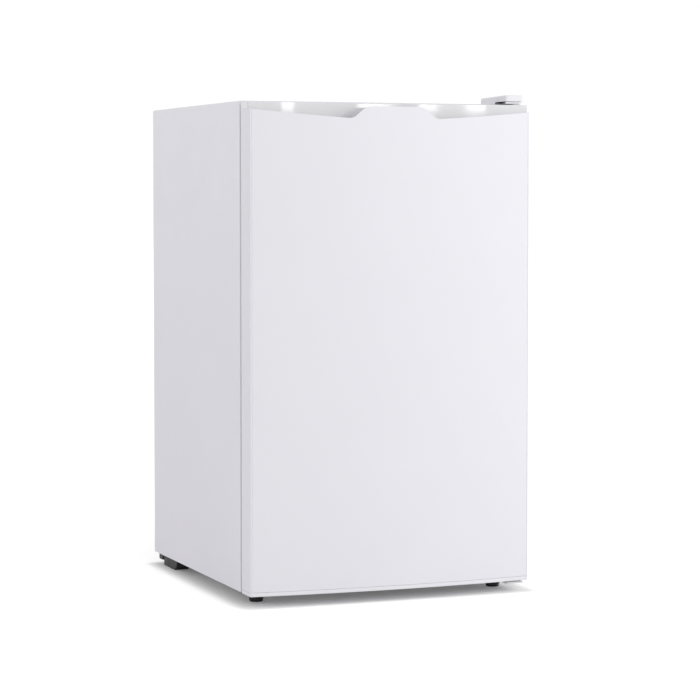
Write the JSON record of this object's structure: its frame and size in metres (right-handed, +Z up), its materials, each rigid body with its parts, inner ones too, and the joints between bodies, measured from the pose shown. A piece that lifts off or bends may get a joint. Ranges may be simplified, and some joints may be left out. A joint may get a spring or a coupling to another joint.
{
  "type": "mini fridge",
  "caption": "Free-standing white mini fridge with a bowed right-hinged door, scooped top pull lip, ice box, shelves, door racks and rear condenser.",
  "frame": {"origin": "on the floor, under the middle of the closed fridge's box", "axes": "+Z up, -Y towards the front of the door, +X towards the hinge side"},
  "size_m": [0.5, 0.555, 0.8424],
  "materials": {
    "cabinet_paint": "satin",
    "door_paint": "gloss",
    "hinge_paint": "satin",
    "white_plastic": "satin",
    "white_gloss_plastic": "gloss",
    "liner_plastic": "satin",
    "rack_plastic": "gloss",
    "flap_plastic": "gloss",
    "tray_plastic": "gloss",
    "tray_plastic_black": "matte",
    "knob_plastic": "satin",
    "lamp_cover_plastic": "gloss",
    "bulb_glass": "gloss",
    "shelf_glass": "gloss",
    "foam": "matte",
    "gasket_vinyl": "satin",
    "magnet_strip": "matte",
    "grommet_rubber": "matte",
    "foot_plastic": "satin",
    "black_plastic": "satin",
    "bush_plastic": "satin",
    "black_paint": "satin",
    "zinc_sheet": "satin",
    "bolt_steel": "satin",
    "bar_chrome": "polished",
    "evaporator_aluminium": "satin",
    "motor_iron": "matte",
    "copper": "satin"
  },
  "bodies": {
    "cabinet": {"outer_shell": "cabinet_paint", "back_panel": "zinc_sheet", "base_plate": "zinc_sheet", "inner_liner": "liner_plastic", "cabinet_foam": "foam", "foot_nuts": "bolt_steel", "rear_feet": "foot_plastic", "top_hinge_plate": "hinge_paint", "hinge_pins": "bolt_steel", "hinge_cover": "white_plastic", "hinge_screws": "bolt_steel", "bottom_hinge_bracket": "hinge_paint", "lower_shelf_glass": "shelf_glass", "upper_shelf_glass": "shelf_glass", "shelf_trims": "white_plastic", "evaporator": "evaporator_aluminium", "evaporator_hangers": "white_plastic", "ice_frame": "white_plastic", "drip_tray_rails": "white_plastic", "control_housing": "white_plastic", "thermostat_control": "zinc_sheet", "lamp_cover": "lamp_cover_plastic", "lamp_socket": "white_plastic", "lamp_bulb": "bulb_glass", "compressor_platform": "black_paint", "compressor_grommets": "grommet_rubber", "compressor_bolts": "bolt_steel", "compressor": "black_paint", "compressor_motor": "motor_iron", "relay_cover": "black_plastic", "mains_inlet": "black_plastic", "evaporating_tray": "tray_plastic_black", "drain_tube": "white_plastic", "condenser_tube": "black_paint", "condenser_wires": "black_paint", "condenser_brackets": "black_plastic", "condenser_screws": "bolt_steel", "compressor_pipes": "copper", "capillary_tube": "copper", "filter_drier": "copper"},
    "door": {"door_skin": "door_paint", "door_top_cap": "white_gloss_plastic", "door_bottom_cap": "white_plastic", "door_liner": "liner_plastic", "door_foam": "foam", "door_gasket": "gasket_vinyl", "gasket_magnets": "magnet_strip", "hinge_bushes": "bush_plastic", "bottle_rack": "rack_plastic", "middle_rack": "rack_plastic", "upper_rack": "rack_plastic", "bottle_bar": "bar_chrome"},
    "ice_flap": {"ice_flap": "flap_plastic"},
    "drip_tray": {"drip_tray": "tray_plastic"},
    "knob": {"thermostat_knob": "knob_plastic", "knob_spindle": "bolt_steel"},
    "left_foot": {"left_foot_pad": "foot_plastic", "left_foot_stud": "bolt_steel"},
    "right_foot": {"right_foot_pad": "foot_plastic", "right_foot_stud": "bolt_steel"}
  },
  "joints": [
    {"name": "door_swing", "type": "hinge", "parent": "cabinet", "child": "door", "pos_m": [0.232, -0.244, 0.42], "axis": [0, 0, 1], "range_deg": [0, 120]},
    {"name": "ice_flap_swing", "type": "hinge", "parent": "cabinet", "child": "ice_flap", "pos_m": [0, -0.016, 0.757], "axis": [-1, 0, 0], "range_deg": [0, 90]},
    {"name": "drip_tray_slide", "type": "slide", "parent": "cabinet", "child": "drip_tray", "axis": [0, -1, 0], "range_m": [0, 0.08]},
    {"name": "thermostat_turn", "type": "hinge", "parent": "cabinet", "child": "knob", "pos_m": [0.17, 0.025, 0.558], "axis": [1, 0, 0], "range_deg": [-140, 140]},
    {"name": "left_foot_screw", "type": "slide", "parent": "cabinet", "child": "left_foot", "axis": [0, 0, -1], "range_m": [0, 0.012]},
    {"name": "right_foot_screw", "type": "slide", "parent": "cabinet", "child": "right_foot", "axis": [0, 0, -1], "range_m": [0, 0.012]}
  ]
}
